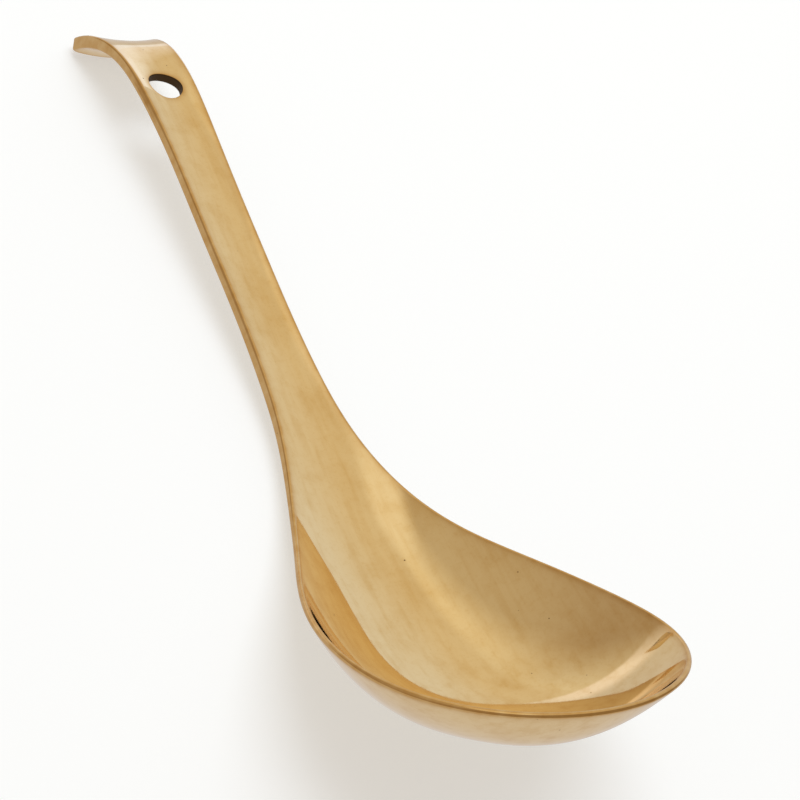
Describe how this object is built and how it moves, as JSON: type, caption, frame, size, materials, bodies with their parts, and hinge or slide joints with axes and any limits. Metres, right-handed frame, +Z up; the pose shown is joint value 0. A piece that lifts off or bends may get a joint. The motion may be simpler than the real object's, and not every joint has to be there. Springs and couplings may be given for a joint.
{
  "type": "serving spoon",
  "caption": "Polished brass serving spoon with a deep round bowl, a slim dished handle, and a drilled end that bends down into a short hook.",
  "frame": {"origin": "middle of the bounding box's underside, on the table that the spoon lies on", "axes": "+Z up from the table, +Y along the handle towards the hook, X across; the spoon is its own mirror image in the plane X = 0"},
  "size_m": [0.0854, 0.2726, 0.0541],
  "materials": {
    "brass": "polished, with fine scratches and small casting pits"
  },
  "bodies": {
    "root": {"spoon": "brass"}
  },
  "joints": []
}
